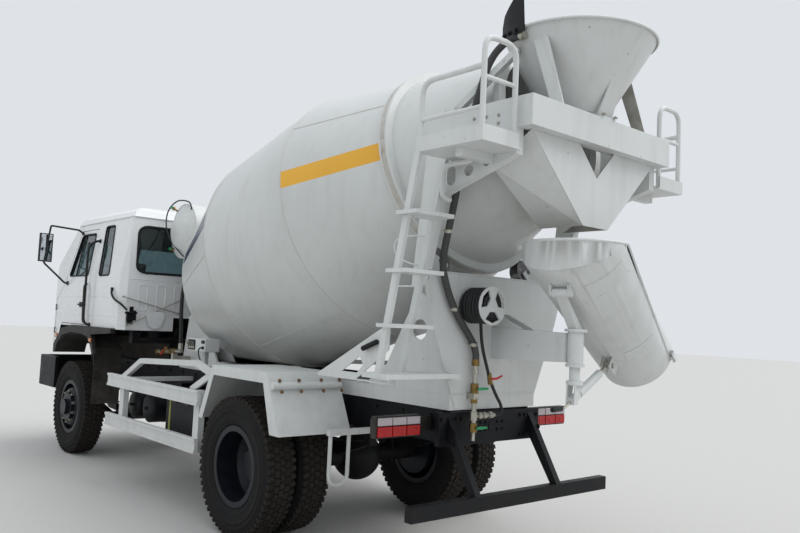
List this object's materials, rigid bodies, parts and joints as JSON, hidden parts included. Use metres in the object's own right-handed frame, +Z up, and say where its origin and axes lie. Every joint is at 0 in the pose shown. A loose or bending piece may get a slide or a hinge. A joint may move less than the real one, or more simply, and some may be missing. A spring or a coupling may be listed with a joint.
{
  "type": "concrete mixer truck",
  "caption": "Two-axle truck with a flat-nosed cab and a tilted rotating concrete drum, feed hopper, discharge collector, swinging chute and ladder at the rear.",
  "frame": {"origin": "middle of the truck's length and width, on the ground", "axes": "+X forward along the truck, +Y to its left, +Z up"},
  "size_m": [7.584, 2.56, 3.69],
  "materials": {
    "white_paint": "dusty gloss",
    "cab_paint": "gloss",
    "black_paint": "satin",
    "rim_paint": "satin",
    "tyre": "matt",
    "steel": "worn",
    "iron": "oily",
    "rubber": "matt",
    "glass": "clear",
    "cloth": "woven",
    "plastic": "matt",
    "lamp": "clear gloss"
  },
  "bodies": {
    "chassis": {"frame_rails": "black_paint", "subframe": "white_paint", "engine_block": "iron", "driveline": "iron", "front_axle": "black_paint", "rear_axle": "black_paint", "leaf_springs": "black_paint", "chassis_tanks": "black_paint", "exhaust": "black_paint", "front_bumper": "black_paint", "cab_mounts": "black_paint", "side_guards": "white_paint", "rear_fenders": "white_paint", "drum_reducer": "white_paint", "rear_pedestal": "white_paint", "top_frame": "white_paint", "feed_hopper": "white_paint", "hopper_flap": "rubber", "discharge_collector": "white_paint", "platforms": "white_paint", "ladder": "white_paint", "hose_reel": "white_paint", "control_box": "white_paint", "water_fittings": "steel", "water_hoses": "rubber", "water_tank": "white_paint", "tail_lamps": "lamp", "underrun_bar": "black_paint"},
    "drum": {"drum_shell": "white_paint"},
    "roller_left": {"roller_left": "steel"},
    "roller_right": {"roller_right": "steel"},
    "cab": {"cab_shell": "cab_paint", "cab_glass": "glass", "cab_trim": "plastic", "seats": "cloth", "dashboard": "plastic"},
    "door_left": {"door_left": "cab_paint", "door_glass_left": "glass", "mirror_left": "plastic"},
    "door_right": {"door_right": "cab_paint", "door_glass_right": "glass", "mirror_right": "plastic"},
    "knuckle_left": {"knuckle_left": "black_paint"},
    "knuckle_right": {"knuckle_right": "black_paint"},
    "tie_rod": {"tie_rod": "black_paint"},
    "front_wheel_left": {"front_wheel_left": "rim_paint", "front_tyre_left": "tyre"},
    "front_wheel_right": {"front_wheel_right": "rim_paint", "front_tyre_right": "tyre"},
    "rear_wheels_left": {"rear_wheel_left": "rim_paint", "rear_tyres_left": "tyre"},
    "rear_wheels_right": {"rear_wheel_right": "rim_paint", "rear_tyres_right": "tyre"},
    "chute_arm": {"chute_arm": "white_paint"},
    "main_chute": {"main_chute": "white_paint"},
    "extension_chute": {"extension_chute": "white_paint"},
    "strut_barrel": {"strut_barrel": "white_paint"},
    "strut_rod": {"strut_rod": "white_paint"}
  },
  "joints": [
    {"name": "drum_spin", "type": "hinge", "parent": "chassis", "child": "drum", "pos_m": [-1.2125, 0, 2.415], "axis": [0.9615, 0, -0.2748], "continuous": true},
    {"name": "roller_left_spin", "type": "hinge", "parent": "chassis", "child": "roller_left", "pos_m": [-2.51885, 0.45339, 2.00358], "axis": [0.9615, 0, -0.2748], "continuous": true},
    {"name": "roller_right_spin", "type": "hinge", "parent": "chassis", "child": "roller_right", "pos_m": [-2.51885, -0.45339, 2.00358], "axis": [0.9615, 0, -0.2748], "continuous": true},
    {"name": "cab_tilt", "type": "hinge", "parent": "chassis", "child": "cab", "pos_m": [3.4375, 0, 1.11], "axis": [0, 1, 0], "range_deg": [0, 45]},
    {"name": "door_left_swing", "type": "hinge", "parent": "cab", "child": "door_left", "pos_m": [3.3445, 1.009, 1.465], "axis": [0, 0, -1], "range_deg": [0, 70]},
    {"name": "door_right_swing", "type": "hinge", "parent": "cab", "child": "door_right", "pos_m": [3.3445, -1.009, 1.465], "axis": [0, 0, 1], "range_deg": [0, 70]},
    {"name": "steer_left", "type": "hinge", "parent": "chassis", "child": "knuckle_left", "pos_m": [2.6875, 0.76, 0.505], "axis": [0, 0, 1], "range_deg": [-35, 35]},
    {"name": "steer_right", "type": "hinge", "parent": "chassis", "child": "knuckle_right", "pos_m": [2.6875, -0.76, 0.505], "axis": [0, 0, 1], "range_deg": [-35, 35]},
    {"name": "tie_rod_pivot", "type": "hinge", "parent": "knuckle_left", "child": "tie_rod", "pos_m": [2.4975, 0.76, 0.4], "axis": [0, 0, 1], "range_deg": [-35, 35]},
    {"name": "front_left_spin", "type": "hinge", "parent": "knuckle_left", "child": "front_wheel_left", "pos_m": [2.6875, 0.895, 0.505], "axis": [0, 1, 0], "continuous": true},
    {"name": "front_right_spin", "type": "hinge", "parent": "knuckle_right", "child": "front_wheel_right", "pos_m": [2.6875, -0.895, 0.505], "axis": [0, 1, 0], "continuous": true},
    {"name": "rear_left_spin", "type": "hinge", "parent": "chassis", "child": "rear_wheels_left", "pos_m": [-1.2125, 0.895, 0.505], "axis": [0, 1, 0], "continuous": true},
    {"name": "rear_right_spin", "type": "hinge", "parent": "chassis", "child": "rear_wheels_right", "pos_m": [-1.2125, -0.895, 0.505], "axis": [0, 1, 0], "continuous": true},
    {"name": "chute_swing", "type": "hinge", "parent": "chassis", "child": "chute_arm", "pos_m": [-3.3425, 0, 1.4], "axis": [0, 0, 1], "range_deg": [-180, 0]},
    {"name": "chute_tilt", "type": "hinge", "parent": "chute_arm", "child": "main_chute", "pos_m": [-3.38042, 0.21505, 1.82397], "axis": [-0.9848, -0.1736, 0], "range_deg": [-5, 10]},
    {"name": "strut_pivot", "type": "hinge", "parent": "chute_arm", "child": "strut_barrel", "pos_m": [-3.34858, 0.03447, 1.165], "axis": [-0.9848, -0.1736, 0], "range_deg": [-4.35, 8.68]},
    {"name": "strut_slide", "type": "slide", "parent": "strut_barrel", "child": "strut_rod", "axis": [0.1611, -0.9136, 0.3733], "range_m": [-0.05942, 0.11875]},
    {"name": "extension_fold", "type": "hinge", "parent": "main_chute", "child": "extension_chute", "pos_m": [-3.17026, -0.97683, 1.43413], "axis": [0.9848, 0.1736, 0], "range_deg": [0, 180]}
  ],
  "couplings": [
    {"joint": "roller_left_spin", "follows": "drum_spin", "ratio": -7.8},
    {"joint": "roller_right_spin", "follows": "drum_spin", "ratio": -7.8},
    {"joint": "steer_right", "follows": "steer_left", "ratio": 1},
    {"joint": "tie_rod_pivot", "follows": "steer_left", "ratio": -1},
    {"joint": "strut_pivot", "follows": "chute_tilt", "ratio": 0.86714},
    {"joint": "strut_slide", "follows": "chute_tilt", "m_per_rad": 0.67979}
  ]
}
